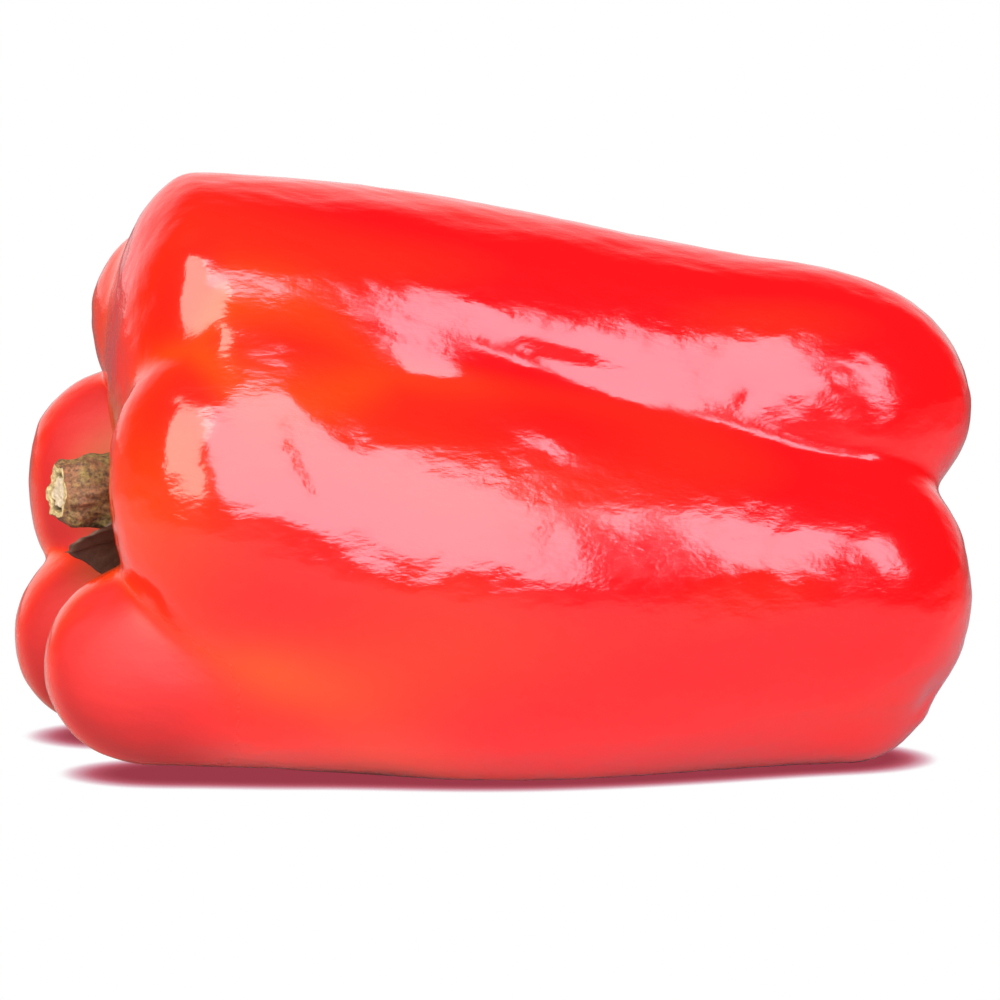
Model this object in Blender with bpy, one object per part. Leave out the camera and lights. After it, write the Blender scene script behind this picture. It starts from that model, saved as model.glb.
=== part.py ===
"""A large red bell pepper lying on its side: the fleshy fruit, the dried calyx and the cut stem.

X runs along the fruit, from the stem end (-X) to the blossom end (+X). Z is up, and the fruit
lies on the plane Z = 0 with two of its lobes. The tables below are in millimetres.
"""

import bpy
import numpy as np

MM = 0.001

# The six lobes of the fruit, the web that fills the upper groove in front near the stem, and
# the body between them. Each is a round bar along X:
# tips    where it ends at the stem and at the blossom end
# dome    how long the rounding of each end is
# lean    how far the end's rounding moves along X for each mm of height
# y, z, r the path of its middle and its radius, as four stations blended from stem to blossom
# wide    its width over its height, at the same four stations
# power   how square the rounding of the ends is (2 is an ellipse)
LOBES = {
    "upper front": dict(
        tips=(-51.0, 61.8), dome=(9.8, 25.0), lean=(0.0, -0.04), power=2.15,
        y=(-2.5, 2.5, 4.0, -1.5), z=(54.0, 48.0, 43.6, 46.0),
        r=(21.2, 26.8, 25.4, 18.0), wide=(1.0, 1.0, 1.0, 1.0),
    ),
    "middle front": dict(
        tips=(-52.6, 60.0), dome=(14.6, 20.0), lean=(0.10, -0.04), power=2.2,
        y=(-21.5, -8.0, -6.5, -10.5), z=(34.8, 21.5, 24.0, 22.5),
        r=(20.0, 32.3, 29.5, 19.0), wide=(0.76, 1.02, 1.0, 1.0),
    ),
    "front web": dict(
        tips=(-47.0, 8.0), dome=(10.0, 20.0), lean=(0.0, 0.0), power=2.0,
        y=(-8.5, -9.5, -8.0, -6.0), z=(43.4, 43.4, 42.0, 42.0),
        r=(22.8, 22.4, 20.0, 15.0), wide=(1.0, 1.0, 1.0, 1.0),
    ),
    "lower front": dict(
        tips=(-60.3, 55.0), dome=(14.0, 12.0), lean=(0.0, 0.0), power=2.1,
        y=(-15.0, -15.0, -12.0, -10.0), z=(14.0, 22.0, 21.0, 10.0),
        r=(12.6, 22.5, 22.0, 11.0), wide=(1.0, 1.0, 1.0, 1.0),
    ),
    "lower back": dict(
        tips=(-61.8, 55.0), dome=(14.0, 16.0), lean=(0.0, 0.0), power=2.1,
        y=(13.0, 15.0, 14.0, 11.0), z=(13.5, 21.0, 21.0, 15.0),
        r=(12.5, 22.0, 22.0, 15.0), wide=(1.0, 1.0, 1.0, 1.0),
    ),
    "middle back": dict(
        tips=(-59.2, 57.0), dome=(14.0, 18.0), lean=(0.0, 0.0), power=2.4,
        y=(21.5, 15.0, 14.0, 14.0), z=(32.6, 32.0, 29.0, 27.0),
        r=(14.8, 23.5, 23.5, 16.0), wide=(0.85, 1.0, 1.0, 1.0),
    ),
    "upper back": dict(
        tips=(-51.8, 52.0), dome=(14.0, 20.0), lean=(0.0, 0.0), power=2.3,
        y=(13.0, 21.0, 21.0, 14.0), z=(55.0, 48.0, 40.0, 36.0),
        r=(13.0, 18.5, 18.0, 13.5), wide=(1.0, 1.0, 1.0, 1.0),
    ),
    "body": dict(
        tips=(-46.5, 47.0), dome=(12.0, 14.0), lean=(0.0, 0.0), power=2.4,
        y=(0.0, 0.0, 0.0, 0.0), z=(37.0, 37.0, 34.0, 31.0),
        r=(20.0, 26.0, 26.0, 18.0), wide=(1.0, 1.0, 1.0, 1.0),
    ),
}
CREASE_SOFTNESS = (1.2, 1.0, 1.2)   # rounding of the grooves: stem end, middle, blossom end
FRUIT_FROM, FRUIT_TO = -55.0, 55.0  # the length that the groove rounding is spread over
PATH_TURN = 0.035                   # share of a lobe's length over which its path levels out at its ends

# The line inside the fruit from which its surface is measured out.
SPINE_X = (-30.0, 36.0)
SPINE_Z = (37.0, 33.7)
POLE_X = -10.0                      # the stem end is seen from here, so that all its hollow is in view
STEM_CAP_CLOSENESS = 1.5            # rows lie closer together towards the stem
FRUIT_ROWS, FRUIT_COLUMNS = 50, 64
STEM_CAP_SHARE, BLOSSOM_CAP_SHARE = 0.44, 0.26
REACH = 75.0
HALVINGS = 24

# Stem: it leaves the boss square to X and bends to its cut end.
STEM_FOOT = np.array((-48.9, -2.3, 34.5))
STEM_END = np.array((-58.0, -6.0, 34.8))
STEM_END_AXIS = np.array((-0.951, -0.304, 0.051))
STEM_BEND = 5.0                     # the straight length before the cut end
STEM_RADII = ((0.0, 5.3), (0.10, 5.15), (0.25, 4.9), (0.5, 4.6), (0.75, 4.2), (0.90, 3.8), (1.0, 3.2))
STEM_DISH = ((0.86, -0.1), (0.72, -0.55), (0.35, -0.75))  # share of the end's radius, depth of the cut face
STEM_RIBS, STEM_RIB_HEIGHT = 6, 0.18
STEM_SIDES = 30
PIECE_GAP = 0.4                     # between the stem's foot and the boss

# Calyx: a thin dried sheet on the floor of the hollow, reaching into the grooves between the
# lobes, with a boss under the stem.
SKIN_GAP = 1.15
CALYX_THICKNESS = (1.4, 0.8)        # middle, edge
CALYX_LIFT = 1.2                    # how far the edge curls off the floor
EDGE_CLEAR = 3.5                    # from the edge to the walls of the hollow
EDGE_LEVEL = -49.6                  # the height in the hollow where that is kept
EDGE_FARTHEST = 11.0
CALYX_ROWS, CALYX_COLUMNS = 8, 44
BOSS_FLAT, BOSS_FOOT = 5.6, 7.6     # radius of the boss's flat top, and of its foot
HOLLOW_FROM, HOLLOW_DEPTH = -52.0, 14.0


def blend_stations(share, stations):
    """Cubic Bernstein blend of four stations at each share of the length."""
    first, second, third, fourth = stations
    rest = 1 - share
    return (
        rest**3 * first
        + 3 * rest**2 * share * second
        + 3 * rest * share**2 * third
        + share**3 * fourth
    )


def level_share(share):
    """The share kept between 0 and 1, turning level over a short stretch and not at once."""
    from_start = np.logaddexp(0, share / PATH_TURN)
    past_end = np.logaddexp(0, (share - 1) / PATH_TURN)
    return PATH_TURN * (from_start - past_end)


def lobe_field(points, lobe):
    """Negative inside one lobe, zero on its skin, about the distance outside it."""
    x, y, z = points[..., 0], points[..., 1], points[..., 2]
    start = lobe["tips"][0] + lobe["dome"][0]
    end = lobe["tips"][1] - lobe["dome"][1]
    share = level_share((x - start) / (end - start))
    mid_y = blend_stations(share, lobe["y"])
    mid_z = blend_stations(share, lobe["z"])
    radius = blend_stations(share, lobe["r"])
    wide = blend_stations(share, lobe["wide"])
    before = np.maximum(start - lobe["lean"][0] * (z - mid_z) - x, 0)
    beyond = np.maximum(x - end - lobe["lean"][1] * (z - mid_z), 0)
    along = before * radius / lobe["dome"][0] + beyond * radius / lobe["dome"][1]
    across = np.hypot((y - mid_y) / wide, z - mid_z)
    power = lobe["power"]
    return (across**power + along**power) ** (1 / power) - radius


def fruit_field(points):
    """The lobes joined with rounded grooves: the smooth smallest of their fields."""
    fields = np.stack([lobe_field(points, lobe) for lobe in LOBES.values()])
    share = np.clip((points[..., 0] - FRUIT_FROM) / (FRUIT_TO - FRUIT_FROM), 0, 1)
    stem, middle, blossom = CREASE_SOFTNESS
    soft = (1 - share) ** 2 * stem + 2 * share * (1 - share) * middle + share**2 * blossom
    least = fields.min(axis=0)
    return least - soft * np.log(np.exp((least - fields) / soft).sum(axis=0))


def travel(origins, directions, reach, goes_on):
    """How far along each direction the points stop meeting the condition, found by halving."""
    near = np.zeros(directions.shape[:-1])
    far = np.full(directions.shape[:-1], reach)
    for _ in range(HALVINGS):
        middle = (near + far) / 2
        on = goes_on(origins + directions * middle[..., None])
        near = np.where(on, middle, near)
        far = np.where(on, far, middle)
    return (near + far) / 2


def fruit_grid():
    """Rows from the stem pole over the sides to the blossom pole, columns round the spine."""
    row = np.linspace(0, 1, FRUIT_ROWS)
    side_share = 1 - STEM_CAP_SHARE - BLOSSOM_CAP_SHARE
    turn = np.full(FRUIT_ROWS, 90.0)
    stem_cap = row < STEM_CAP_SHARE
    blossom_cap = row > 1 - BLOSSOM_CAP_SHARE
    turn[stem_cap] = (row[stem_cap] / STEM_CAP_SHARE) ** STEM_CAP_CLOSENESS * 90
    turn[blossom_cap] = 180 - (1 - row[blossom_cap]) / BLOSSOM_CAP_SHARE * 90
    turn = np.radians(turn)[:, None]
    share = np.clip((row - STEM_CAP_SHARE) / side_share, 0, 1)
    round_angle = 2 * np.pi * np.arange(FRUIT_COLUMNS)[None, :] / FRUIT_COLUMNS
    along = SPINE_X[0] + (SPINE_X[1] - SPINE_X[0]) * share
    along[stem_cap] = POLE_X + (SPINE_X[0] - POLE_X) * turn[stem_cap, 0] / (np.pi / 2)
    origins = np.zeros((FRUIT_ROWS, FRUIT_COLUMNS, 3))
    origins[..., 0] = along[:, None]
    origins[..., 2] = (SPINE_Z[0] + (SPINE_Z[1] - SPINE_Z[0]) * share)[:, None]
    directions = np.stack(
        [
            -np.cos(turn) * np.ones_like(round_angle),
            -np.sin(turn) * np.cos(round_angle),
            np.sin(turn) * np.sin(round_angle),
        ],
        axis=-1,
    )
    far = travel(origins, directions, REACH, lambda points: fruit_field(points) < 0)
    return origins + directions * far[..., None]


def unit(vector):
    return vector / np.linalg.norm(vector)


def calyx_grid():
    """The underside from the middle out to the edge, then the top back to the middle."""
    angle = 2 * np.pi * np.arange(CALYX_COLUMNS) / CALYX_COLUMNS
    outward = np.stack([np.zeros_like(angle), np.cos(angle), np.sin(angle)], axis=-1)
    level = np.array((EDGE_LEVEL, STEM_FOOT[1], STEM_FOOT[2]))
    edge = travel(level, outward, EDGE_FARTHEST, lambda points: fruit_field(points) > EDGE_CLEAR)
    share = np.linspace(0, 1, CALYX_ROWS)[:, None]
    off_axis = share * edge
    starts = STEM_FOOT + off_axis[..., None] * outward
    starts[..., 0] = HOLLOW_FROM
    inward = np.broadcast_to((1.0, 0.0, 0.0), starts.shape)
    depth = travel(starts, inward, HOLLOW_DEPTH, lambda points: fruit_field(points) > SKIN_GAP)
    middle, rim = CALYX_THICKNESS
    under = HOLLOW_FROM + depth - CALYX_LIFT * share**3
    top = under - middle - (rim - middle) * share
    on_boss = np.clip((BOSS_FOOT - off_axis) / (BOSS_FOOT - BOSS_FLAT), 0, 1)
    on_boss = on_boss**2 * (3 - 2 * on_boss)
    top = top + (STEM_FOOT[0] - top) * on_boss
    below, above = starts.copy(), starts.copy()
    below[..., 0] = under
    above[..., 0] = top
    return np.concatenate([below, above[::-1]])


def stem_grid():
    """The foot, the ribbed bark up to the cut end, and the dished cut face."""
    end_axis = unit(STEM_END_AXIS)
    foot = STEM_FOOT - np.array((PIECE_GAP, 0.0, 0.0))
    elbow = STEM_END - end_axis * STEM_BEND
    end_radius = STEM_RADII[-1][1]
    rows = [(0.0, 0.0, 0.0)]
    rows += [(share, radius, 0.0) for share, radius in STEM_RADII]
    rows += [(1.0, part * end_radius, depth) for part, depth in STEM_DISH]
    rows += [(1.0, 0.0, STEM_DISH[-1][1])]
    share, radius, depth = (column[:, None] for column in np.array(rows).T)
    middle = (1 - share) ** 2 * foot + 2 * share * (1 - share) * elbow + share**2 * STEM_END
    middle = middle + depth * end_axis
    normal = (1 - share) * np.array((-1.0, 0.0, 0.0)) + share * end_axis
    normal /= np.linalg.norm(normal, axis=1, keepdims=True)
    side = np.cross(normal, (0.0, 0.0, 1.0))
    side /= np.linalg.norm(side, axis=1, keepdims=True)
    up = np.cross(side, normal)
    angle = 2 * np.pi * np.arange(STEM_SIDES) / STEM_SIDES
    radius = radius * (1 + STEM_RIB_HEIGHT / end_radius * np.cos(STEM_RIBS * angle))
    across = (radius * np.cos(angle))[..., None] * side[:, None]
    upward = (radius * np.sin(angle))[..., None] * up[:, None]
    return middle[:, None] + across + upward


def closed_mesh(name, grid):
    """A closed skin over a grid whose first and last rows each close in one point."""
    rows, columns = grid.shape[:2]
    inner = grid[1:-1].reshape(-1, 3)
    points = np.concatenate([grid[:1, 0], inner, grid[-1:, 0]]) * MM
    index = 1 + np.arange((rows - 2) * columns).reshape(rows - 2, columns)
    after = np.roll(index, -1, axis=1)
    quads = np.stack([index[:-1], after[:-1], after[1:], index[1:]], axis=-1).reshape(-1, 4)
    first_fan = np.stack([np.zeros(columns, int), after[0], index[0]], axis=-1)
    last_fan = np.stack([np.full(columns, len(points) - 1), index[-1], after[-1]], axis=-1)
    mesh = bpy.data.meshes.new(name)
    mesh.from_pydata(points.tolist(), [], quads.tolist() + first_fan.tolist() + last_fan.tolist())
    mesh.validate()
    corners = points[first_fan]
    outward = np.cross(corners[:, 1] - corners[:, 0], corners[:, 2] - corners[:, 0]).sum(axis=0)
    if outward @ (points[0] - points.mean(axis=0)) < 0:
        mesh.flip_normals()
    mesh.shade_smooth()
    return mesh


def add_node(name, grid, material):
    mesh = closed_mesh(name, grid)
    mesh.materials.append(material)
    obj = bpy.data.objects.new(name, mesh)
    bpy.context.scene.collection.objects.link(obj)
    return obj


def principled(name, colour, roughness, metallic):
    material = bpy.data.materials.new(name)
    material.use_nodes = True
    shader = material.node_tree.nodes["Principled BSDF"]
    shader.inputs["Base Color"].default_value = (*colour, 1.0)
    shader.inputs["Roughness"].default_value = roughness
    shader.inputs["Metallic"].default_value = metallic
    return material


def main():
    for obj in list(bpy.data.objects):
        bpy.data.objects.remove(obj)
    fruit = fruit_grid()
    calyx = calyx_grid()
    stem = stem_grid()
    fruit[..., 2] = np.maximum(fruit[..., 2], 0)  # the two lobes that it lies on are pressed flat
    low, high = fruit.reshape(-1, 3).min(axis=0), fruit.reshape(-1, 3).max(axis=0)
    centre = np.array(((low[0] + high[0]) / 2, (low[1] + high[1]) / 2, low[2]))
    add_node("fruit", fruit - centre, principled("red_skin", (0.70, 0.012, 0.008), 0.16, 0.0))
    add_node("calyx", calyx - centre, principled("dried_calyx", (0.045, 0.022, 0.012), 0.75, 0.0))
    add_node("stem", stem - centre, principled("stem_bark", (0.19, 0.10, 0.04), 0.7, 0.0))


main()
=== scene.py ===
import math

import bpy
import numpy as np
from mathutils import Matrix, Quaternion, Vector


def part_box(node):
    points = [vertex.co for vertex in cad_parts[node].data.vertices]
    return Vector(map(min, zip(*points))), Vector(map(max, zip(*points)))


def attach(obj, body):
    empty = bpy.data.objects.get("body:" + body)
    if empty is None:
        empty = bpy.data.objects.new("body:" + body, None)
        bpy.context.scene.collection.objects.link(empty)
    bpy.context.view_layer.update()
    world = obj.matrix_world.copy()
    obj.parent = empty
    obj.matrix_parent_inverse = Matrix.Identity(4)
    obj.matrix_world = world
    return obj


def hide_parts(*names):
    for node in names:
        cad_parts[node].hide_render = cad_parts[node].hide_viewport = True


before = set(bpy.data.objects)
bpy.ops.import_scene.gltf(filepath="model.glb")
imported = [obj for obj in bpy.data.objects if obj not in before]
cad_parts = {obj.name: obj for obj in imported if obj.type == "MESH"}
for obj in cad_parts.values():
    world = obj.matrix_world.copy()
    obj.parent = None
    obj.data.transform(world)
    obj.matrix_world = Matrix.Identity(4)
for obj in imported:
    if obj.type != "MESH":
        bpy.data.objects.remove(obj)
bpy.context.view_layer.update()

mm = 0.001

camera = dict(
    aim=(0.0, 0.0, 0.0328),
    turn=-9.5,       # degrees round Z from the front, towards the stem end
    lift=7.5,        # degrees above the horizon
    roll=0.9,        # degrees
    distance=0.75,
    sensor=36.0,
    across=0.12987,  # width of the view at that distance, metres
    farClip=30.0,
)


# The unit vector at turn degrees round Z from the front and lift degrees above the horizon.
def towards(turn, lift):
    turn = math.radians(turn)
    lift = math.radians(lift)
    return Vector((math.sin(turn) * math.cos(lift), -math.cos(turn) * math.cos(lift), math.sin(lift)))


# A camera at its distance from the aim, looking at it, with its focal length from the width seen.
def addCamera():
    back = towards(camera["turn"], camera["lift"])
    data = bpy.data.cameras.new("camera")
    data.sensor_width = camera["sensor"]
    data.lens = camera["sensor"] * camera["distance"] / camera["across"]
    data.clip_end = camera["farClip"]
    obj = bpy.data.objects.new("camera", data)
    obj.location = Vector(camera["aim"]) + back * camera["distance"]
    obj.rotation_mode = "QUATERNION"
    roll = Quaternion((0, 0, 1), math.radians(camera["roll"]))
    obj.rotation_quaternion = (-back).to_track_quat("-Z", "Y") @ roll
    scene = bpy.context.scene
    scene.collection.objects.link(obj)
    scene.camera = obj
    scene.view_settings.view_transform = "Standard"  # no tone curve
    scene.view_settings.look = "None"


addCamera()
print("camera set")


# sRGB hex to a linear colour: below 0.04045 divided by 12.92, above it the 2.4 power curve.
def linear(hexColour):
    parts = [int(hexColour[i:i + 2], 16) / 255 for i in (1, 3, 5)]
    return tuple(p / 12.92 if p <= 0.04045 else ((p + 0.055) / 1.055) ** 2.4 for p in parts) + (1.0,)


# Adds one node: its own settings, fixed values on its sockets, and links into its sockets. A
# colour mix has its share at socket 0, its colours at 6 and 7 and its result at 2, and a number
# mix has its share at 0, its numbers at 2 and 3 and its result at 0.
def addNode(tree, kind, settings=None, values=None, links=None):
    node = tree.nodes.new(kind)
    for name, value in (settings or {}).items():
        setattr(node, name, value)
    for socket, value in (values or {}).items():
        node.inputs[socket].default_value = value
    for socket, source in (links or {}).items():
        tree.links.new(source, node.inputs[socket])
    return node


# A material with an empty node tree.
def newMaterial(name):
    material = bpy.data.materials.new(name)
    material.use_nodes = True
    material.node_tree.nodes.clear()
    return material, material.node_tree


# The smooth step: 0 up to the start, 1 from the end, and 3 share^2 - 2 share^3 between them.
def smooth(value, start, end):
    share = np.clip((value - start) / (end - start), 0, 1)
    return share * share * (3 - 2 * share)


# Soft, patternless noise: the sum of plane waves in random directions, with lengths spread
# evenly (by ratio) from shortest to longest, scaled to a mean square of one.
def waves(points, shortest, longest, count, seed):
    random = np.random.default_rng(seed)
    direction = random.normal(size=(count, 3))
    direction /= np.linalg.norm(direction, axis=1, keepdims=True)
    length = shortest * (longest / shortest) ** random.random(count)
    phase = random.random(count) * 2 * np.pi
    total = np.zeros(points.shape[:-1])
    for way, size, start in zip(direction, length, phase):
        total += np.cos(points @ (way * 2 * np.pi / size) + start)
    return total / math.sqrt(count / 2)


# How far along each direction the points stop meeting the condition, found by halving.
def travel(origins, directions, reach, goesOn, halvings=24):
    near = np.zeros(directions.shape[:-1])
    far = np.full(directions.shape[:-1], reach)
    for _ in range(halvings):
        middle = (near + far) / 2
        on = goesOn(origins + directions * middle[..., None])
        near = np.where(on, middle, near)
        far = np.where(on, far, middle)
    return (near + far) / 2


# Brings the first row of a grid together in its middle, and the last row in its own.
def closePoles(grid):
    for row in (0, -1):
        grid[row] = grid[row].mean(axis=0)


# A closed skin over a grid in millimetres whose first and last rows each close in one point.
# attributes are grids of one number for each vertex.
def gridPiece(name, grid, material, attributes=None):
    rows, columns = grid.shape[:2]
    points = np.concatenate([grid[:1, 0], grid[1:-1].reshape(-1, 3), grid[-1:, 0]]) * mm
    index = 1 + np.arange((rows - 2) * columns).reshape(rows - 2, columns)
    after = np.roll(index, -1, axis=1)
    quads = np.stack([index[:-1], after[:-1], after[1:], index[1:]], axis=-1).reshape(-1, 4)
    firstFan = np.stack([np.zeros(columns, int), after[0], index[0]], axis=-1)
    lastFan = np.stack([np.full(columns, len(points) - 1), index[-1], after[-1]], axis=-1)
    mesh = bpy.data.meshes.new(name)
    mesh.from_pydata(points.tolist(), [], quads.tolist() + firstFan.tolist() + lastFan.tolist())
    corners = points[firstFan]
    outward = np.cross(corners[:, 1] - corners[:, 0], corners[:, 2] - corners[:, 0]).sum(axis=0)
    if outward @ (points[0] - points.mean(axis=0)) < 0:
        mesh.flip_normals()
    mesh.shade_smooth()
    for title, values in (attributes or {}).items():
        layer = mesh.attributes.new(title, "FLOAT", "POINT")
        flat = np.concatenate([values[:1, 0], values[1:-1].reshape(-1), values[-1:, 0]])
        layer.data.foreach_set("value", flat.astype(np.float32))
    mesh.materials.append(material)
    obj = bpy.data.objects.new(name, mesh)
    bpy.context.scene.collection.objects.link(obj)
    return obj


# Each lobe is a round bar along X, in millimetres: tips are its ends, dome how long their
# rounding is, lean how far the rounding moves along X for each mm of height, power how square
# it is, and y, z, r and wide its middle, radius and width over height, as four stations
# blended from the stem end to the blossom end.
lobes = dict(
    upperFront=dict(
        tips=(-51.0, 61.8), dome=(9.8, 27.5), lean=(-0.07, -0.07), power=2.15,
        y=(-2.5, 2.5, 4.0, -1.5), z=(54.0, 48.0, 43.6, 46.0),
        r=(21.2, 26.8, 25.4, 18.0), wide=(1.0, 1.0, 1.0, 1.0),
    ),
    middleFront=dict(
        tips=(-52.6, 60.0), dome=(14.6, 20.0), lean=(0.10, -0.04), power=2.2,
        y=(-21.5, -8.0, -6.5, -10.5), z=(34.8, 21.5, 24.0, 22.5),
        r=(20.0, 32.3, 29.5, 19.0), wide=(0.76, 1.02, 1.0, 1.0),
    ),
    frontWeb=dict(
        tips=(-47.0, 8.0), dome=(10.0, 20.0), lean=(0.0, 0.0), power=2.0,
        y=(-8.5, -9.5, -8.0, -6.0), z=(43.4, 43.4, 42.0, 42.0),
        r=(22.8, 22.4, 20.0, 15.0), wide=(1.0, 1.0, 1.0, 1.0),
    ),
    lowerFront=dict(
        tips=(-60.3, 55.0), dome=(14.0, 12.0), lean=(0.0, 0.0), power=2.1,
        y=(-15.0, -15.0, -12.0, -10.0), z=(14.0, 22.0, 21.0, 10.0),
        r=(12.6, 22.5, 22.0, 11.0), wide=(1.0, 1.0, 1.0, 1.0),
    ),
    lowerBack=dict(
        tips=(-61.8, 55.0), dome=(14.0, 16.0), lean=(0.0, 0.0), power=2.1,
        y=(13.0, 15.0, 14.0, 11.0), z=(13.5, 21.0, 21.0, 15.0),
        r=(12.5, 22.0, 22.0, 15.0), wide=(1.0, 1.0, 1.0, 1.0),
    ),
    middleBack=dict(
        tips=(-59.2, 57.0), dome=(14.0, 18.0), lean=(0.0, 0.0), power=2.4,
        y=(21.5, 15.0, 14.0, 14.0), z=(32.6, 32.0, 29.0, 27.0),
        r=(14.8, 23.5, 23.5, 16.0), wide=(0.85, 1.0, 1.0, 1.0),
    ),
    upperBack=dict(
        tips=(-51.8, 52.0), dome=(14.0, 20.0), lean=(0.0, 0.0), power=2.3,
        y=(13.0, 21.0, 21.0, 14.0), z=(55.0, 48.0, 40.0, 36.0),
        r=(13.0, 18.5, 18.0, 13.5), wide=(1.0, 1.0, 1.0, 1.0),
    ),
    body=dict(
        tips=(-46.5, 47.0), dome=(12.0, 14.0), lean=(0.0, 0.0), power=2.4,
        y=(0.0, 0.0, 0.0, 0.0), z=(37.0, 37.0, 34.0, 31.0),
        r=(20.0, 26.0, 26.0, 18.0), wide=(1.0, 1.0, 1.0, 1.0),
    ),
)

# The fruit's grid and the fine shape of its skin, in millimetres. A set of waves is given as its
# shortest and longest, how many there are, and the seed of their draw.
fruit = dict(
    rows=236, columns=376,
    grooveSoftness=(1.2, 1.0, 1.2),  # rounding of the grooves: stem end, middle, blossom end
    grooveSpan=(-55.0, 55.0),
    foldSpan=(4.0, 14.0),  # how far in front of the middle the folds start and are full
    spineX=(-30.0, 36.0), spineZ=(37.0, 33.7), poleX=-10.0,  # the line that the rows stand round
    stemCapShare=0.42, blossomCapShare=0.24, stemCapCloseness=1.35,
    reach=75.0,  # farther from the spine than any skin
    relaxRounds=14, relaxStep=1.5, leastSlopeSquared=0.2,
    stretch=0.55,  # the waves are longer along the fruit than across it
    undulation=0.07, undulationWaves=(6.0, 17.0, 60, 4),
    ripple=0.022, rippleWaves=(2.0, 5.0, 90, 5),
    grooveWidth=2.5, grooveCalm=0.6,  # the waves are lower in a groove
    calmPlace=(12.5, 34.0, 9.0, 11.0), calmShare=0.75,  # x, z, half length and half height
)
stemSeat = np.array((-48.9, -2.3, 34.5))  # the middle of the calyx, where the stem grows out of it


# Shallow folds and dents in the side that faces front, in millimetres: x and z of the middle,
# half length, half width, tilt in degrees, and height (below zero is a groove).
folds = dict(
    ridgeOverUpperBand=(-33.0, 65.0, 13.0, 4.0, -3.0, 0.80),
    grooveOverCrease=(3.0, 52.0, 11.0, 3.4, -13.0, -1.5),
    ridgeOnShoulder=(-2.0, 48.6, 11.0, 3.2, -27.0, 1.10),
    ridgeBehindBand=(-32.0, 49.6, 8.0, 3.6, -12.0, 0.60),
    grooveAcrossLowerBand=(12.5, 33.0, 9.0, 4.5, -80.0, -0.18),
    slantingGroove=(-28.5, 40.5, 6.5, 2.0, -62.0, -0.35),
    ridgeOnRightShoulder=(47.0, 42.5, 5.0, 4.0, 0.0, 0.6),
    blossomNotch=(53.5, 9.4, 3.0, 1.4, 65.0, -0.5),
    blossomBump=(53.3, 6.2, 1.6, 1.4, 0.0, 0.35),
    crescentMark=(28.4, 47.9, 1.5, 0.7, 50.0, -0.12),
    firstPucker=(-55.0, 22.6, 3.0, 0.8, 38.0, -0.32),
    secondPucker=(-53.0, 22.8, 3.0, 0.8, 42.0, -0.30),
    junctionPit=(-48.0, 24.6, 0.9, 2.0, 12.0, -0.50),
)


# The sum of the folds, each a bell shape along and across its own direction, on the front only.
def foldHeight(points):
    total = np.zeros(points.shape[:-1])
    for x, z, halfLength, halfWidth, tilt, height in folds.values():
        away, above = points[..., 0] - x, points[..., 2] - z
        turn = math.radians(tilt)
        along = away * math.cos(turn) + above * math.sin(turn)
        across = above * math.cos(turn) - away * math.sin(turn)
        total += height * np.exp(-(along / halfLength) ** 2 - (across / halfWidth) ** 2)
    return total * smooth(-points[..., 1], *fruit["foldSpan"])


# Cubic Bernstein blend of four stations at each share of the length.
def blendStations(share, stations):
    first, second, third, fourth = stations
    rest = 1 - share
    return rest**3 * first + 3 * rest**2 * share * second + 3 * rest * share**2 * third + share**3 * fourth


# The share kept between 0 and 1, turning level over a short stretch and not at once.
def softShare(share, turn=0.035):
    return turn * (np.logaddexp(0, share / turn) - np.logaddexp(0, (share - 1) / turn))


# Negative inside the lobe, zero on its skin, about the distance outside it: the power mean of
# the distance across the bar and the distance past its straight part, less the radius.
def lobeField(points, lobe):
    x, y, z = points[..., 0], points[..., 1], points[..., 2]
    start = lobe["tips"][0] + lobe["dome"][0]
    end = lobe["tips"][1] - lobe["dome"][1]
    share = softShare((x - start) / (end - start))
    midY, midZ, radius, wide = (blendStations(share, lobe[key]) for key in ("y", "z", "r", "wide"))
    before = np.maximum(start - lobe["lean"][0] * (z - midZ) - x, 0)
    beyond = np.maximum(x - end - lobe["lean"][1] * (z - midZ), 0)
    along = before * radius / lobe["dome"][0] + beyond * radius / lobe["dome"][1]
    across = np.hypot((y - midY) / wide, z - midZ)
    power = lobe["power"]
    return (across**power + along**power) ** (1 / power) - radius


# The fields of all the lobes, stacked in their order.
def allFields(points):
    return np.stack([lobeField(points, lobe) for lobe in lobes.values()])


# The lobes joined with rounded grooves, with the folds on them: the smooth smallest of the
# lobes' fields, less the height of the folds.
def fruitField(points):
    fields = allFields(points)
    start, end = fruit["grooveSpan"]
    share = np.clip((points[..., 0] - start) / (end - start), 0, 1)
    first, middle, last = fruit["grooveSoftness"]
    soft = (1 - share) ** 2 * first + 2 * share * (1 - share) * middle + share**2 * last
    least = fields.min(axis=0)
    return least - soft * np.log(np.exp((least - fields) / soft).sum(axis=0)) - foldHeight(points)


# The field and its slope at each point, from three short steps.
def fieldAndSlope(points, step=0.02):
    here = fruitField(points)
    slope = np.empty_like(points)
    for axis in range(3):
        moved = points.copy()
        moved[..., axis] += step
        slope[..., axis] = (fruitField(moved) - here) / step
    return here, slope


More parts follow.
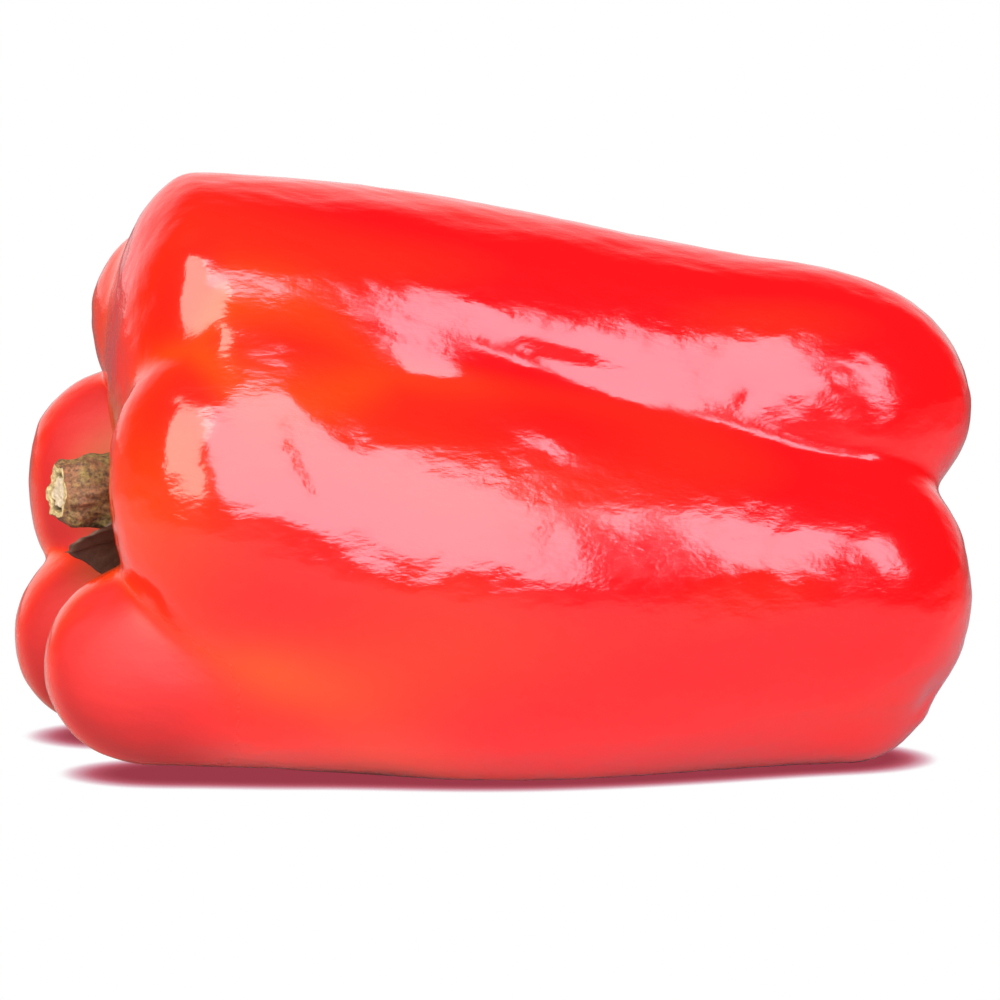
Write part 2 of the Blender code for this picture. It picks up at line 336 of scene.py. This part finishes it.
# Each point is where a ray from the spine leaves the fruit. Rows run from the stem pole over the
# sides to the blossom pole, with their rays turning from -X to +X, and columns run round the spine.
def fruitGrid():
    row = np.linspace(0, 1, fruit["rows"])
    stemShare, blossomShare = fruit["stemCapShare"], fruit["blossomCapShare"]
    turn = np.full(row.shape, 90.0)
    stemCap = row < stemShare
    blossomCap = row > 1 - blossomShare
    turn[stemCap] = (row[stemCap] / stemShare) ** fruit["stemCapCloseness"] * 90
    turn[blossomCap] = 180 - (1 - row[blossomCap]) / blossomShare * 90
    turn = np.radians(turn)[:, None]
    share = np.clip((row - stemShare) / (1 - stemShare - blossomShare), 0, 1)
    angle = 2 * np.pi * np.arange(fruit["columns"])[None, :] / fruit["columns"]
    startX, endX = fruit["spineX"]
    along = startX + (endX - startX) * share
    along[stemCap] = fruit["poleX"] + (startX - fruit["poleX"]) * turn[stemCap, 0] / (np.pi / 2)
    origins = np.zeros((len(row), angle.shape[1], 3))
    origins[..., 0] = along[:, None]
    origins[..., 2] = (fruit["spineZ"][0] + (fruit["spineZ"][1] - fruit["spineZ"][0]) * share)[:, None]
    directions = np.stack(
        [-np.cos(turn) * np.ones_like(angle), -np.sin(turn) * np.cos(angle), np.sin(turn) * np.sin(angle)],
        axis=-1,
    )
    far = travel(origins, directions, fruit["reach"], lambda points: fruitField(points) < 0)
    grid = origins + directions * far[..., None]
    # Each point moves towards its neighbours' mean and back onto the skin, which spreads the
    # rows over the walls of the hollow.
    step = fruit["relaxStep"]
    for _ in range(fruit["relaxRounds"]):
        mean = (np.roll(grid, 1, 1) + np.roll(grid, -1, 1))[1:-1] / 4 + (grid[:-2] + grid[2:]) / 4
        grid[1:-1] = (grid[1:-1] + mean) / 2
        field, slope = fieldAndSlope(grid)
        steepness = (slope**2).sum(axis=-1).clip(fruit["leastSlopeSquared"])
        grid -= slope * (np.clip(field, -step, step) / steepness)[..., None]
    closePoles(grid)
    return grid


# The skin's colours, where its marks lie, and its finish. Lengths are in millimetres.
skin = dict(
    # The second red is painted shade: a darker red for the lit fronts of the lower and back lobes' stem
    # ends.
    deepRed="#d00a0e", orange="#e84406", olive="#8f5a10", scar="#6b4424", paintedShadeRed="#a90a0a",
    closeness=1.5,  # how far past its own skin a lobe still counts
    dullShadeLobes=("lowerFront", "lowerBack", "middleBack", "upperBack"),
    dullShadeSpan=(32.0, 48.0), dullShadeFacing=(0.1, 0.6),  # towards the stem end, and towards the front
    warmFrom=-56.0, warmFade=18.0, warmAtStem=0.55,
    warmInGroove=0.35, warmGrooveSpan=(-30.0, 40.0),
    dullShadeCools=0.75, upperFrontCools=0.7,
    blotch=0.06, blotchWaves=(12.0, 40.0, 30, 9),
    oliveSpan=(8.0, 18.0), oliveShare=0.7,  # how far from the stem's seat it is full, and ends
    scarRadius=1.6,
    roughness=0.12, dullRoughness=0.70, roughnessSpread=0.05, roughnessFrom=(0.35, 0.65),
    ior=1.5,
    dimple=1.4, dimpleHeight=0.07,
    pore=0.5, poreHeight=0.004,
    stretch=0.5,  # the dimples are twice as long along the fruit as across it
)


# The fruit's grid, moved along its normals by two sets of waves that are lower in the grooves and
# at the calm place. The normal is the slope of the field, and nothing goes below the table.
def makeFruit():
    grid = fruitGrid()
    _, slope = fieldAndSlope(grid)
    normal = slope / np.linalg.norm(slope, axis=-1, keepdims=True)
    fields = np.sort(allFields(grid), axis=0)
    inGroove = np.exp(-((fields[1] - fields[0]) / fruit["grooveWidth"]) ** 2)
    calmX, calmZ, calmLength, calmHeight = fruit["calmPlace"]
    calm = np.exp(-((grid[..., 0] - calmX) / calmLength) ** 2 - ((grid[..., 2] - calmZ) / calmHeight) ** 2)
    calmed = 1 - fruit["calmShare"] * calm
    stretched = grid * (fruit["stretch"], 1, 1)
    height = fruit["undulation"] * waves(stretched, *fruit["undulationWaves"])
    height += calmed * fruit["ripple"] * waves(stretched, *fruit["rippleWaves"])
    fade = (1 - fruit["grooveCalm"] * inGroove) * calmed
    grid = grid + normal * (height * fade)[..., None]
    closePoles(grid)
    grid[..., 2] = np.maximum(grid[..., 2], 0)
    return grid, skinMarks(grid, normal, inGroove, stretched)


# Shares from 0 to 1 for the skin's colours. A lobe's own share is exp(-its field), over the sum
# of that for all the lobes. Warmth fades from the stem end and lies in the grooves, the share that
# roughens the skin and paints shade lies on the front of the lower and back lobes' stem ends, on
# the side that faces the lamps, byCalyx is round the stem's seat and scar round the blossom pole.
def skinMarks(grid, normal, inGroove, stretched):
    closeness = dict(zip(lobes, np.exp(-allFields(grid) / skin["closeness"])))
    total = sum(closeness.values())
    # Where the skin is rougher and painted shade darkens it: the lower and back lobes' stem ends, on the
    # side that faces the lamps.
    dullAndShade = sum(closeness[name] for name in skin["dullShadeLobes"]) / total
    dullAndShade = dullAndShade * smooth(-grid[..., 0], *skin["dullShadeSpan"]) * smooth(-normal[..., 1], *skin["dullShadeFacing"])
    stemward = np.exp(-np.maximum(grid[..., 0] - skin["warmFrom"], 0) / skin["warmFade"])
    warmth = skin["warmAtStem"] * stemward
    warmth += skin["warmInGroove"] * inGroove * smooth(-grid[..., 0], *skin["warmGrooveSpan"])
    onUpperFront = closeness["upperFront"] / total
    # Less orange where the painted shade lies, and on the upper front lobe.
    warmth *= (1 - skin["dullShadeCools"] * dullAndShade) * (1 - skin["upperFrontCools"] * onUpperFront)
    warmth = np.clip(warmth + skin["blotch"] * waves(stretched, *skin["blotchWaves"]), 0, 1)
    full, none = skin["oliveSpan"]
    byCalyx = smooth(-np.linalg.norm(grid - stemSeat, axis=-1), -none, -full)
    fromScar = np.linalg.norm(grid - grid[-1, 0], axis=-1)
    scar = np.exp(-(fromScar / skin["scarRadius"]) ** 2)
    return dict(warmth=warmth, dullAndShade=dullAndShade, byCalyx=byCalyx, scar=scar)


# Waxed, ripe pepper skin: a thin, clear, glossy layer over saturated red flesh, with an orange
# cast near the stem, an olive one beside the calyx, and dimples that break up the edges of the
# reflections. The fronts of the lower lobes' ends beside the stem are rougher and carry painted
# shade, a darker, less orange red that dims the light they catch from the lamps.
def skinMaterial():
    material, tree = newMaterial("waxyRedPepperSkin")
    place = addNode(tree, "ShaderNodeTexCoord")
    marks = {
        name: addNode(tree, "ShaderNodeAttribute", {"attribute_name": name}).outputs["Fac"]
        for name in ("warmth", "dullAndShade", "byCalyx", "scar")
    }
    warmed = addNode(
        tree, "ShaderNodeMix", {"data_type": "RGBA"},
        {6: linear(skin["deepRed"]), 7: linear(skin["orange"])}, {0: marks["warmth"]},
    )
    # Painted shade: a darker red over the warmed red on the lit fronts of the lower lobes' stem ends.
    shaded = addNode(
        tree, "ShaderNodeMix", {"data_type": "RGBA"}, {7: linear(skin["paintedShadeRed"])},
        {0: marks["dullAndShade"], 6: warmed.outputs[2]},
    )
    oliveShare = addNode(
        tree, "ShaderNodeMath", {"operation": "MULTIPLY"}, {1: skin["oliveShare"]}, {0: marks["byCalyx"]}
    )
    toned = addNode(
        tree, "ShaderNodeMix", {"data_type": "RGBA"}, {7: linear(skin["olive"])},
        {0: oliveShare.outputs[0], 6: shaded.outputs[2]},
    )
    colour = addNode(
        tree, "ShaderNodeMix", {"data_type": "RGBA"}, {7: linear(skin["scar"])},
        {0: marks["scar"], 6: toned.outputs[2]},
    )
    stretched = addNode(
        tree, "ShaderNodeMapping", {}, {"Scale": (skin["stretch"], 1, 1)},
        {"Vector": place.outputs["Object"]},
    )
    dimples = addNode(
        tree, "ShaderNodeTexNoise", {},
        {"Scale": 1 / (skin["dimple"] * mm), "Detail": 3.0, "Roughness": 0.6},
        {"Vector": stretched.outputs[0]},
    )
    pores = addNode(
        tree, "ShaderNodeTexNoise", {}, {"Scale": 1 / (skin["pore"] * mm), "Detail": 1.0},
        {"Vector": stretched.outputs[0]},
    )
    rolling = addNode(
        tree, "ShaderNodeBump", {}, {"Strength": 1.0, "Distance": skin["dimpleHeight"] * mm},
        {"Height": dimples.outputs[0]},
    )
    bump = addNode(
        tree, "ShaderNodeBump", {}, {"Strength": 1.0, "Distance": skin["poreHeight"] * mm},
        {"Height": pores.outputs[0], "Normal": rolling.outputs[0]},
    )
    fromLow, fromHigh = skin["roughnessFrom"]
    wax = addNode(
        tree, "ShaderNodeMapRange", {},
        {"From Min": fromLow, "From Max": fromHigh, "To Min": skin["roughness"],
         "To Max": skin["roughness"] + skin["roughnessSpread"]},
        {"Value": dimples.outputs[0]},
    )
    roughness = addNode(
        tree, "ShaderNodeMix", {"data_type": "FLOAT"}, {3: skin["dullRoughness"]},
        {0: marks["dullAndShade"], 2: wax.outputs[0]},
    )
    shader = addNode(
        tree, "ShaderNodeBsdfPrincipled", {}, {"IOR": skin["ior"]},
        {"Base Color": colour.outputs[2], "Roughness": roughness.outputs[0],
         "Normal": bump.outputs["Normal"]},
    )
    addNode(tree, "ShaderNodeOutputMaterial", {}, {}, {"Surface": shader.outputs["BSDF"]})
    return material


fruitPoints, fruitMarks = makeFruit()
boxLow, boxHigh = (np.array(corner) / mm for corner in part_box("fruit"))
low = fruitPoints.reshape(-1, 3).min(axis=0)
high = fruitPoints.reshape(-1, 3).max(axis=0)
offset = (low + high) / 2 - (boxLow + boxHigh) / 2  # from the frame's fruit, level with the table
offset[2] = 0
fruitPiece = gridPiece("pepperFruit", fruitPoints - offset, skinMaterial(), fruitMarks)
print("fruit made")


# Lengths are in millimetres, and the cut face's are shares of its radius. The amount of the gap
# is given with the sine of the angle where it starts and where it is full.
stem = dict(
    rows=110, columns=150, faceRows=46, rowSpread=0.9, faceStart=0.985,
    foot=(-49.3, -2.3, 34.5), end=(-58.0, -6.0, 34.8), endAxis=(-0.951, -0.304, 0.051), bend=5.0,
    radii=((0.0, 5.3), (0.10, 5.15), (0.25, 4.9), (0.5, 4.6), (0.75, 4.2), (0.90, 3.8), (1.0, 3.2)),
    ribs=6, ribShare=0.045,
    fibre=0.10, fibreStretch=0.16, fibreWaves=(0.7, 1.6, 60, 21),
    lump=0.16, lumpStretch=0.6, lumpWaves=(2.2, 5.0, 40, 22),
    gapInner=(0.56, 0.64), gapOuter=(0.74, 0.82), gapDepth=1.0,
    gapLeast=0.15, gapBelow=(0.75, 0.35, 0.95), gapAbove=(0.45, 0.6, 1.0),
    coreDepth=0.30,
    crumb=0.05, crumbWaves=(0.5, 1.6, 50, 32),
    torn=0.05, tornWaves=(0.6, 2.0, 40, 33), tornSpan=(0.75, 0.95),
)


# The cut face at shares of its radius and at angles: how far it stands out, where the torn gap
# between its woody ring and its pale core is, and where the core is. The gap is widest at the
# bottom of the core and nearly closed at its sides.
def cutFace(part, angle, radius):
    flat = np.stack([np.zeros_like(part * angle), part * np.cos(angle), part * np.sin(angle)], axis=-1)
    flat = flat * radius
    below, belowStart, belowFull = stem["gapBelow"]
    above, aboveStart, aboveFull = stem["gapAbove"]
    width = stem["gapLeast"] + below * smooth(-np.sin(angle), belowStart, belowFull)
    width = np.clip(width + above * smooth(np.sin(angle), aboveStart, aboveFull), 0, 1)
    pastCore = smooth(part, *stem["gapInner"])
    gap = pastCore * (1 - smooth(part, *stem["gapOuter"])) * width
    core = 1 - pastCore
    crumbs = stem["crumb"] * waves(flat, *stem["crumbWaves"])
    torn = stem["torn"] * waves(flat, *stem["tornWaves"]) * smooth(part, *stem["tornSpan"])
    depth = -stem["gapDepth"] * gap - stem["coreDepth"] * core + crumbs + torn
    return depth, gap, core


# The path is a quadratic curve from the foot to the cut end. Rings stand square to it, and
# their radius is the profile times ribs, plus fibre and lump waves. The cut face is the same
# rings shrinking to a point.
def makeStem():
    end, foot = np.array(stem["end"]), np.array(stem["foot"])
    axis = np.array(stem["endAxis"]) / np.linalg.norm(stem["endAxis"])
    elbow = end - axis * stem["bend"]
    rows, faceRows = stem["rows"], stem["faceRows"]
    alongBark = np.linspace(0, 1, rows) ** stem["rowSpread"]
    acrossFace = np.linspace(stem["faceStart"], 0, faceRows)
    share = np.concatenate([[0.0], alongBark, np.ones(faceRows)])[:, None]
    part = np.concatenate([[0.0], np.ones(rows), acrossFace])[:, None]
    angle = (2 * np.pi * np.arange(stem["columns"]) / stem["columns"])[None, :]
    stations, radii = np.array(stem["radii"]).T
    radius = np.interp(share, stations, radii)
    onFace = (np.arange(len(share)) > rows)[:, None] * np.ones_like(angle)
    length = np.linalg.norm(end - foot)
    local = np.stack([
        share * length * np.ones_like(angle), radius * np.cos(angle), radius * np.sin(angle)
    ], axis=-1)
    fibres = stem["fibre"] * waves(local * (stem["fibreStretch"], 1, 1), *stem["fibreWaves"])
    lumps = stem["lump"] * waves(local * (stem["lumpStretch"], 1, 1), *stem["lumpWaves"])
    ribs = stem["ribShare"] * np.cos(stem["ribs"] * angle)
    wide = radius * (1 + ribs + (fibres + lumps) / radius) * part
    depth, gap, core = cutFace(part, angle, radii[-1])
    middle = (1 - share) ** 2 * foot + 2 * share * (1 - share) * elbow + share**2 * end
    normal = (1 - share) * np.array((-1.0, 0.0, 0.0)) + share * axis
    normal /= np.linalg.norm(normal, axis=1, keepdims=True)
    side = np.cross(normal, (0.0, 0.0, 1.0))
    side /= np.linalg.norm(side, axis=1, keepdims=True)
    up = np.cross(side, normal)
    sideways = (wide * np.cos(angle))[..., None] * side[:, None]
    upwards = (wide * np.sin(angle))[..., None] * up[:, None]
    grid = middle[:, None] + normal[:, None] * (depth * onFace)[..., None] + sideways + upwards
    closePoles(grid)
    return grid, dict(cutFace=onFace, gap=gap * onFace, core=core * onFace)


# Colours, and the sizes of the pattern in millimetres.
bark = dict(
    brown="#8a5a38", dark="#3d2417", olive="#85703c",
    # The near-black gap colour is painted shade inside the torn gap.
    ringShade="#8a7048", ringLight="#bfa97c", pith="#b3a08a", paintedGapShade="#2b1a10",
    patch=2.4, patchFrom=(0.42, 0.62),
    speck=0.55, speckFrom=(0.35, 0.65), speckHeight=0.12,
    roughness=0.75, ior=1.5,
)


# Dried, woody stalk: fibrous brown bark with olive patches, and a pale, crumbly core at the cut,
# with painted shade, near black, in the torn gap round the core.
def stemMaterial():
    material, tree = newMaterial("driedStalkBark")
    place = addNode(tree, "ShaderNodeTexCoord")
    marks = {
        name: addNode(tree, "ShaderNodeAttribute", {"attribute_name": name}).outputs["Fac"]
        for name in ("cutFace", "gap", "core")
    }
    patches = addNode(
        tree, "ShaderNodeTexNoise", {}, {"Scale": 1 / (bark["patch"] * mm), "Detail": 4.0},
        {"Vector": place.outputs["Object"]},
    )
    specks = addNode(
        tree, "ShaderNodeTexNoise", {},
        {"Scale": 1 / (bark["speck"] * mm), "Detail": 4.0, "Roughness": 0.7},
        {"Vector": place.outputs["Object"]},
    )
    fromLow, fromHigh = bark["patchFrom"]
    patchShare = addNode(
        tree, "ShaderNodeMapRange", {}, {"From Min": fromLow, "From Max": fromHigh},
        {"Value": patches.outputs[0]},
    )
    fromLow, fromHigh = bark["speckFrom"]
    speckShare = addNode(
        tree, "ShaderNodeMapRange", {}, {"From Min": fromLow, "From Max": fromHigh},
        {"Value": specks.outputs[0]},
    )
    ground = addNode(
        tree, "ShaderNodeMix", {"data_type": "RGBA"},
        {6: linear(bark["brown"]), 7: linear(bark["olive"])}, {0: patchShare.outputs[0]},
    )
    mottled = addNode(
        tree, "ShaderNodeMix", {"data_type": "RGBA"}, {6: linear(bark["dark"])},
        {0: speckShare.outputs[0], 7: ground.outputs[2]},
    )
    ring = addNode(
        tree, "ShaderNodeMix", {"data_type": "RGBA"},
        {6: linear(bark["ringShade"]), 7: linear(bark["ringLight"])}, {0: speckShare.outputs[0]},
    )
    pith = addNode(
        tree, "ShaderNodeMix", {"data_type": "RGBA"}, {7: linear(bark["pith"])},
        {0: marks["core"], 6: ring.outputs[2]},
    )
    # Painted shade: the torn gap round the core is coloured near black.
    hollow = addNode(
        tree, "ShaderNodeMix", {"data_type": "RGBA"}, {7: linear(bark["paintedGapShade"])},
        {0: marks["gap"], 6: pith.outputs[2]},
    )
    colour = addNode(
        tree, "ShaderNodeMix", {"data_type": "RGBA"}, {},
        {0: marks["cutFace"], 6: mottled.outputs[2], 7: hollow.outputs[2]},
    )
    bump = addNode(
        tree, "ShaderNodeBump", {}, {"Strength": 1.0, "Distance": bark["speckHeight"] * mm},
        {"Height": specks.outputs[0]},
    )
    shader = addNode(
        tree, "ShaderNodeBsdfPrincipled", {}, {"Roughness": bark["roughness"], "IOR": bark["ior"]},
        {"Base Color": colour.outputs[2], "Normal": bump.outputs["Normal"]},
    )
    addNode(tree, "ShaderNodeOutputMaterial", {}, {}, {"Surface": shader.outputs["BSDF"]})
    return material


stemPoints, stemMarks = makeStem()
stemPiece = gridPiece("pepperStem", stemPoints - offset, stemMaterial(), stemMarks)
print("stem made")


# Lengths are in millimetres.
calyx = dict(
    rows=46, columns=240,
    skinGap=0.9, thickness=(1.4, 0.7), lift=1.4,  # thickness in the middle and at the edge
    edgeClear=3.1, edgeLevel=-49.6, edgeFarthest=11.4,
    edgeRagged=0.28, edgeCircle=10.0, edgeWaves=(1.2, 4.0, 30, 41),
    bossFlat=5.6, bossFoot=7.6,
    hollowFrom=-52.0, hollowDepth=14.0,
    flapTurn=243.0, flapSpread=32.0, flapLift=8.5,  # one sepal curls out of the hollow, degrees and mm
    wrinkle=0.16, wrinkleWaves=(0.9, 3.5, 60, 42), wrinkleSpan=(0.1, 0.5), wrinkleBelow=0.5,
    # The dark colour is partly the calyx's own brown and partly painted shade of the hollow.
    shade="#241512", light="#6b4b38",
    patch=0.9, patchHeight=0.15,
    roughness=0.7, ior=1.5,
)


# A height field along X over a star-shaped disc: the edge keeps its distance from the hollow's
# walls, the underside follows the floor of the hollow, a round boss stands in the middle, and
# the edge is lifted by the cube of the share of the way to it, most of all in the direction of
# the sepal that curls out.
def makeCalyx():
    angle = 2 * np.pi * np.arange(calyx["columns"]) / calyx["columns"]
    outward = np.stack([np.zeros_like(angle), np.cos(angle), np.sin(angle)], axis=-1)
    level = np.array((calyx["edgeLevel"], stemSeat[1], stemSeat[2]))
    edge = travel(
        level, outward, calyx["edgeFarthest"],
        lambda points: fruitField(points) > calyx["edgeClear"],
    )
    edge = edge + calyx["edgeRagged"] * waves(outward * calyx["edgeCircle"], *calyx["edgeWaves"])
    share = np.linspace(0, 1, calyx["rows"])[:, None]
    offAxis = share * edge
    starts = stemSeat + offAxis[..., None] * outward
    starts[..., 0] = calyx["hollowFrom"]
    inward = np.broadcast_to((1.0, 0.0, 0.0), starts.shape)
    floorDepth = travel(
        starts, inward, calyx["hollowDepth"],
        lambda points: fruitField(points) > calyx["skinGap"],
    )
    middle, rim = calyx["thickness"]
    flap = np.exp(-((np.degrees(angle) - calyx["flapTurn"]) / calyx["flapSpread"]) ** 2)
    under = calyx["hollowFrom"] + floorDepth - (calyx["lift"] + calyx["flapLift"] * flap) * share**3
    wrinkle = calyx["wrinkle"] * waves(starts, *calyx["wrinkleWaves"])
    wrinkle = wrinkle * smooth(share, *calyx["wrinkleSpan"])
    top = under - middle - (rim - middle) * share + wrinkle
    onBoss = smooth(-offAxis, -calyx["bossFoot"], -calyx["bossFlat"])
    top = top + (stemSeat[0] - top) * onBoss
    below, above = starts.copy(), starts.copy()
    below[..., 0] = under + wrinkle * calyx["wrinkleBelow"]
    above[..., 0] = top
    return np.concatenate([below, above[::-1]])


# Dried calyx tissue: papery, dark brown, matt, with paler worn patches. Its near-black is partly
# its own colour and partly painted shade of the hollow it sits in.
def calyxMaterial():
    material, tree = newMaterial("driedCalyxTissue")
    place = addNode(tree, "ShaderNodeTexCoord")
    patches = addNode(
        tree, "ShaderNodeTexNoise", {},
        {"Scale": 1 / (calyx["patch"] * mm), "Detail": 4.0, "Roughness": 0.65},
        {"Vector": place.outputs["Object"]},
    )
    colour = addNode(
        tree, "ShaderNodeMix", {"data_type": "RGBA"},
        {6: linear(calyx["shade"]), 7: linear(calyx["light"])}, {0: patches.outputs[0]},
    )
    bump = addNode(
        tree, "ShaderNodeBump", {}, {"Strength": 1.0, "Distance": calyx["patchHeight"] * mm},
        {"Height": patches.outputs[0]},
    )
    shader = addNode(
        tree, "ShaderNodeBsdfPrincipled", {}, {"Roughness": calyx["roughness"], "IOR": calyx["ior"]},
        {"Base Color": colour.outputs[2], "Normal": bump.outputs["Normal"]},
    )
    addNode(tree, "ShaderNodeOutputMaterial", {}, {}, {"Surface": shader.outputs["BSDF"]})
    return material


calyxPiece = gridPiece("pepperCalyx", makeCalyx() - offset, calyxMaterial())
print("calyx made")


# Lengths are in metres, apart from the shadow's reach.
studio = dict(
    # each lamp's turn from the front, lift, width, height, radiance and colour
    lamps=dict(
        keyBox=(7.0, 31.0, 0.57, 0.80, 8.0, (1.0, 0.95, 1.12)),
        leftBox=(-43.5, 31.0, 0.58, 0.80, 8.0, (1.0, 1.0, 0.85)),
        rightBox=(44.5, 24.0, 0.205, 0.40, 8.0, (1.0, 0.95, 1.12)),
    ),
    lampDistance=0.8, lampAim=(0.0, 0.0, 0.035),
    frontSky=0.03, backSky=0.9, skyFade=(0.50, 0.97),  # the fade is by how far back the sky is
    seenSky=1.05,
    tableColour="#b4b4b4", tableGlow=0.2, glowFrom=0.11, glowTo=0.40, tableHalf=4.0,
    shadowReach=5.5,  # millimetres
    # how open the table is there, and its colour
    shadow=((0.30, "#9c3a49"), (0.50, "#bc5c6c"), (0.70, "#deb0bd"), (0.90, "#ffffff")),
)


# Soft rectangular lamps, each facing the aim from its turn and lift.
def addLamps():
    for name, (turn, lift, width, height, radiance, colour) in studio["lamps"].items():
        way = towards(turn, lift)
        light = bpy.data.lights.new(name, "AREA")
        light.shape = "RECTANGLE"
        light.color = colour
        light.size, light.size_y = width, height
        light.energy = radiance * math.pi * width * height  # a flat lamp's power is pi x area x radiance
        obj = bpy.data.objects.new(name, light)
        obj.location = Vector(studio["lampAim"]) + way * studio["lampDistance"]
        obj.rotation_mode = "QUATERNION"
        obj.rotation_quaternion = (-way).to_track_quat("-Z", "Y")
        bpy.context.scene.collection.objects.link(obj)


# A white sky that is nearly dark in front of the fruit and bright behind it, so that the skin
# keeps its deep red and its outline has a pale rim. The camera itself sees plain white.
def addSky():
    world = bpy.data.worlds.new("studio")
    world.use_nodes = True
    bpy.context.scene.world = world
    tree = world.node_tree
    tree.nodes.clear()
    place = addNode(tree, "ShaderNodeTexCoord")
    parts = addNode(tree, "ShaderNodeSeparateXYZ", {}, {}, {0: place.outputs["Generated"]})
    fadeStart, fadeEnd = studio["skyFade"]
    fade = addNode(
        tree, "ShaderNodeMapRange", {"interpolation_type": "SMOOTHSTEP"},
        {"From Min": fadeStart, "From Max": fadeEnd,
         "To Min": studio["frontSky"], "To Max": studio["backSky"]},
        {"Value": parts.outputs["Y"]},
    )
    path = addNode(tree, "ShaderNodeLightPath")
    strength = addNode(
        tree, "ShaderNodeMix", {"data_type": "FLOAT"}, {3: studio["seenSky"]},
        {0: path.outputs["Is Camera Ray"], 2: fade.outputs[0]},
    )
    sky = addNode(
        tree, "ShaderNodeBackground", {}, {"Color": (1, 1, 1, 1)}, {"Strength": strength.outputs[0]}
    )
    addNode(tree, "ShaderNodeOutputWorld", {}, {}, {"Surface": sky.outputs[0]})


# White table. To the eye it is pure white, with a soft red-tinted shadow where the fruit closes
# it in. The fruit mirrors a matt grey table that glows further out.
def tableMaterial():
    material, tree = newMaterial("whiteTable")
    place = addNode(tree, "ShaderNodeTexCoord")
    away = addNode(
        tree, "ShaderNodeVectorMath", {"operation": "LENGTH"}, {}, {0: place.outputs["Object"]}
    )
    share = addNode(
        tree, "ShaderNodeMapRange", {"interpolation_type": "SMOOTHSTEP"},
        {"From Min": studio["glowFrom"], "From Max": studio["glowTo"]}, {"Value": away.outputs["Value"]},
    )
    matt = addNode(tree, "ShaderNodeBsdfDiffuse", {}, {"Color": linear(studio["tableColour"])})
    glow = addNode(tree, "ShaderNodeEmission", {}, {"Strength": studio["tableGlow"]})
    mirrored = addNode(
        tree, "ShaderNodeMixShader", {}, {}, {0: share.outputs[0], 1: matt.outputs[0], 2: glow.outputs[0]}
    )
    openness = addNode(
        tree, "ShaderNodeAmbientOcclusion", {"samples": 24}, {"Distance": studio["shadowReach"] * mm}
    )
    ramp = addNode(tree, "ShaderNodeValToRGB", {}, {}, {0: openness.outputs["AO"]})
    stops = ramp.color_ramp.elements
    while len(stops) < len(studio["shadow"]):
        stops.new(1.0)
    for stop, (position, colour) in zip(stops, studio["shadow"]):
        stop.position = position
        stop.color = linear(colour)
    seen = addNode(tree, "ShaderNodeEmission", {}, {"Strength": 1.0}, {"Color": ramp.outputs["Color"]})
    path = addNode(tree, "ShaderNodeLightPath")
    both = addNode(
        tree, "ShaderNodeMixShader", {}, {},
        {0: path.outputs["Is Camera Ray"], 1: mirrored.outputs[0], 2: seen.outputs[0]},
    )
    addNode(tree, "ShaderNodeOutputMaterial", {}, {}, {"Surface": both.outputs[0]})
    return material


# One square, with the fruit over its middle.
def addTable():
    half = studio["tableHalf"]
    corners = [(-half, -half, 0), (half, -half, 0), (half, half, 0), (-half, half, 0)]
    mesh = bpy.data.meshes.new("table")
    mesh.from_pydata(corners, [], [(0, 1, 2, 3)])
    mesh.materials.append(tableMaterial())
    obj = bpy.data.objects.new("table", mesh)
    bpy.context.scene.collection.objects.link(obj)


addLamps()
addSky()
addTable()
print("studio made")


for piece, node, finish in (
    (fruitPiece, "fruit", "red_skin"),
    (calyxPiece, "calyx", "dried_calyx"),
    (stemPiece, "stem", "stem_bark"),
):
    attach(piece, "root")
    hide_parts(node)
print("pieces placed")
